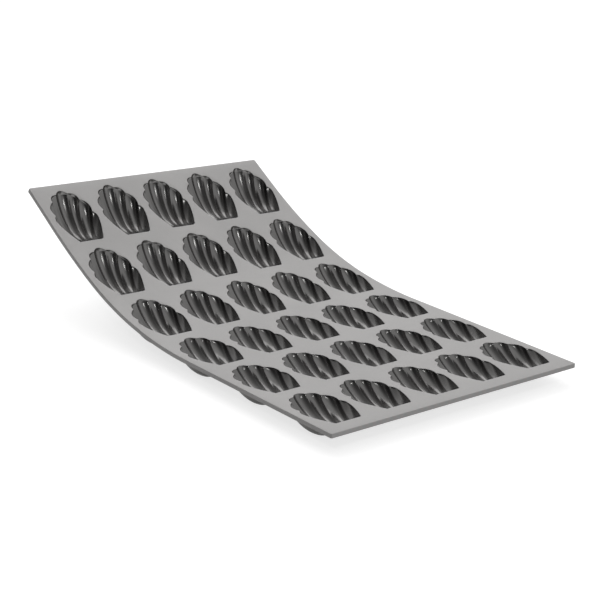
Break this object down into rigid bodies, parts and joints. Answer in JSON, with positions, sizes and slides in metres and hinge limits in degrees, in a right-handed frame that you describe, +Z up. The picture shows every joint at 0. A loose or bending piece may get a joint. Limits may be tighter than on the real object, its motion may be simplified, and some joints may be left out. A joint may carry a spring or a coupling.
{
  "type": "madeleine pan",
  "caption": "Flexible silicone baking mat with rows of fluted shell cavities for madeleines, straight hinge edge at one end of each, its far end curled up.",
  "frame": {"origin": "middle of the mat's footprint, on the surface that the flats under its cups stand on", "axes": "+X across the mat, +Y along the mat from the near edge to the raised far end, +Z up"},
  "size_m": [0.3, 0.51, 0.1153],
  "materials": {
    "grey_silicone": "satin grey silicone, with polished cavities"
  },
  "bodies": {
    "row_1": {"cup_row_1_column_1": "grey_silicone", "cup_row_1_column_2": "grey_silicone", "cup_row_1_column_3": "grey_silicone", "cup_row_1_column_4": "grey_silicone", "cup_row_1_column_5": "grey_silicone", "web_between_rows_1_2": "grey_silicone", "near_border": "grey_silicone"},
    "row_2": {"cup_row_2_column_1": "grey_silicone", "cup_row_2_column_2": "grey_silicone", "cup_row_2_column_3": "grey_silicone", "cup_row_2_column_4": "grey_silicone", "cup_row_2_column_5": "grey_silicone", "web_between_rows_2_3": "grey_silicone"},
    "row_3": {"cup_row_3_column_1": "grey_silicone", "cup_row_3_column_2": "grey_silicone", "cup_row_3_column_3": "grey_silicone", "cup_row_3_column_4": "grey_silicone", "cup_row_3_column_5": "grey_silicone", "web_between_rows_3_4": "grey_silicone"},
    "row_4": {"cup_row_4_column_1": "grey_silicone", "cup_row_4_column_2": "grey_silicone", "cup_row_4_column_3": "grey_silicone", "cup_row_4_column_4": "grey_silicone", "cup_row_4_column_5": "grey_silicone", "web_between_rows_4_5": "grey_silicone"},
    "row_5": {"cup_row_5_column_1": "grey_silicone", "cup_row_5_column_2": "grey_silicone", "cup_row_5_column_3": "grey_silicone", "cup_row_5_column_4": "grey_silicone", "cup_row_5_column_5": "grey_silicone", "web_between_rows_5_6": "grey_silicone"},
    "row_6": {"cup_row_6_column_1": "grey_silicone", "cup_row_6_column_2": "grey_silicone", "cup_row_6_column_3": "grey_silicone", "cup_row_6_column_4": "grey_silicone", "cup_row_6_column_5": "grey_silicone", "far_border": "grey_silicone"}
  },
  "joints": [
    {"name": "bend_1_2", "type": "hinge", "parent": "row_1", "child": "row_2", "pos_m": [0, -0.1585, 0.01805], "axis": [1, 0, 0], "range_deg": [-45, 45], "stiffness_Nm_per_rad": 15, "deforming": ["web_between_rows_1_2"]},
    {"name": "bend_2_3", "type": "hinge", "parent": "row_2", "child": "row_3", "pos_m": [0, -0.0725, 0.01805], "axis": [1, 0, 0], "range_deg": [-45, 45], "stiffness_Nm_per_rad": 15, "deforming": ["web_between_rows_2_3"]},
    {"name": "bend_3_4", "type": "hinge", "parent": "row_3", "child": "row_4", "pos_m": [0, 0.01351, 0.01805], "axis": [1, 0, 0], "range_deg": [-45, 45], "stiffness_Nm_per_rad": 15, "deforming": ["web_between_rows_3_4"]},
    {"name": "bend_4_5", "type": "hinge", "parent": "row_4", "child": "row_5", "pos_m": [0, 0.09823, 0.03299], "axis": [1, 0, 0], "range_deg": [-45, 45], "stiffness_Nm_per_rad": 15, "deforming": ["web_between_rows_4_5"]},
    {"name": "bend_5_6", "type": "hinge", "parent": "row_5", "child": "row_6", "pos_m": [0, 0.17712, 0.06729], "axis": [1, 0, 0], "range_deg": [-45, 45], "stiffness_Nm_per_rad": 15, "deforming": ["web_between_rows_5_6"]}
  ]
}
